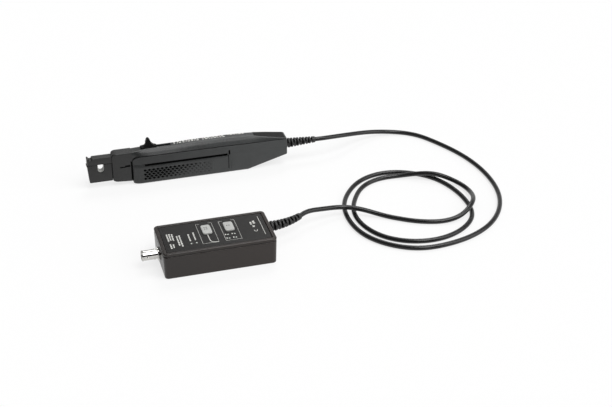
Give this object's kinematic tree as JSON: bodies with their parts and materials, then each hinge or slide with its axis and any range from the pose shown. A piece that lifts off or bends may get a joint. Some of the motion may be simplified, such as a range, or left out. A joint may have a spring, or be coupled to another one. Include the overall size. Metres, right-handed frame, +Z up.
{
  "type": "clamp-on current probe",
  "caption": "Clamp-on AC/DC current probe for an oscilloscope: sliding-jaw head with thumb lever, long cord, and a control box with keys and a coaxial bayonet socket.",
  "frame": {"origin": "on the ground, under the middle of the probe and the control box together, cord left out", "axes": "+X along the probe and the box, from the jaw and the coaxial socket towards the strain reliefs; +Y from the box towards the probe; +Z up"},
  "size_m": [0.3844, 0.2283, 0.0452],
  "materials": {
    "charcoal": "charcoal moulded plastic, fine eggshell texture",
    "grip": "matte charcoal plastic with rows of small dimples",
    "black": "black moulded plastic, satin",
    "rubber": "black flexible sheath, satin",
    "nylon": "natural nylon",
    "ferrite": "dark grey sintered ferrite",
    "copper": "enamelled copper winding",
    "steel": "bright steel",
    "nickel": "polished nickel plate",
    "gold": "gold plate",
    "board": "green solder mask on a glass-fibre board",
    "key": "light grey moulded key",
    "lamp": "clear lens over a small lamp",
    "label": "dark printed film with plain white rules"
  },
  "bodies": {
    "body": {"amplifier_chip": "black", "aperture_liner": "nylon", "bnc_body": "nickel", "bnc_contact": "gold", "bnc_insulator": "nylon", "bnc_nut": "nickel", "bnc_washer": "steel", "box_base": "black", "box_inner_lead": "rubber", "box_lid": "black", "box_screw_1": "steel", "box_screw_2": "steel", "box_screw_3": "steel", "box_screw_4": "steel", "box_strain_relief": "rubber", "control_board": "board", "cord": "rubber", "cord_connector": "nylon", "cord_socket": "nylon", "detent_spring": "steel", "fixed_jaw": "charcoal", "grip_panel_far": "grip", "grip_panel_near": "grip", "guide_rod": "steel", "hall_sensor": "black", "head_block": "charcoal", "head_board": "board", "housing_screw_front": "steel", "housing_screw_middle": "steel", "housing_screw_rear": "steel", "jaw_switch": "black", "label_panel": "label", "lower_core": "ferrite", "lower_housing": "charcoal", "power_jack": "nickel", "probe_cable_clamp": "black", "probe_inner_lead": "rubber", "probe_strain_relief": "rubber", "range_lamp_1": "lamp", "range_lamp_2": "lamp", "range_lamp_3": "lamp", "range_lamp_4": "lamp", "range_switch": "black", "return_spring": "steel", "sense_coil": "copper", "shield_can": "steel", "slide_rail": "steel", "status_lamp_1": "lamp", "status_lamp_2": "lamp", "top_cover": "charcoal", "upper_housing": "charcoal", "zero_switch": "black"},
    "jaw": {"upper_jaw": "charcoal", "upper_core": "ferrite", "slide_carriage": "black", "thumb_lever": "charcoal"},
    "zero_key": {"zero_button": "key"},
    "range_key": {"range_button": "key"}
  },
  "joints": [
    {"name": "jaw_slide", "type": "slide", "parent": "body", "child": "jaw", "axis": [1, 0, 0], "range_m": [0, 0.0165], "stiffness_N_per_m": 120, "springref_m": -0.008, "deforming": ["return_spring"]},
    {"name": "zero_press", "type": "slide", "parent": "body", "child": "zero_key", "axis": [0, 0, -1], "range_m": [0, 0.0008], "stiffness_N_per_m": 150, "springref_m": -0.001},
    {"name": "range_press", "type": "slide", "parent": "body", "child": "range_key", "axis": [0, 0, -1], "range_m": [0, 0.0008], "stiffness_N_per_m": 150, "springref_m": -0.001}
  ]
}
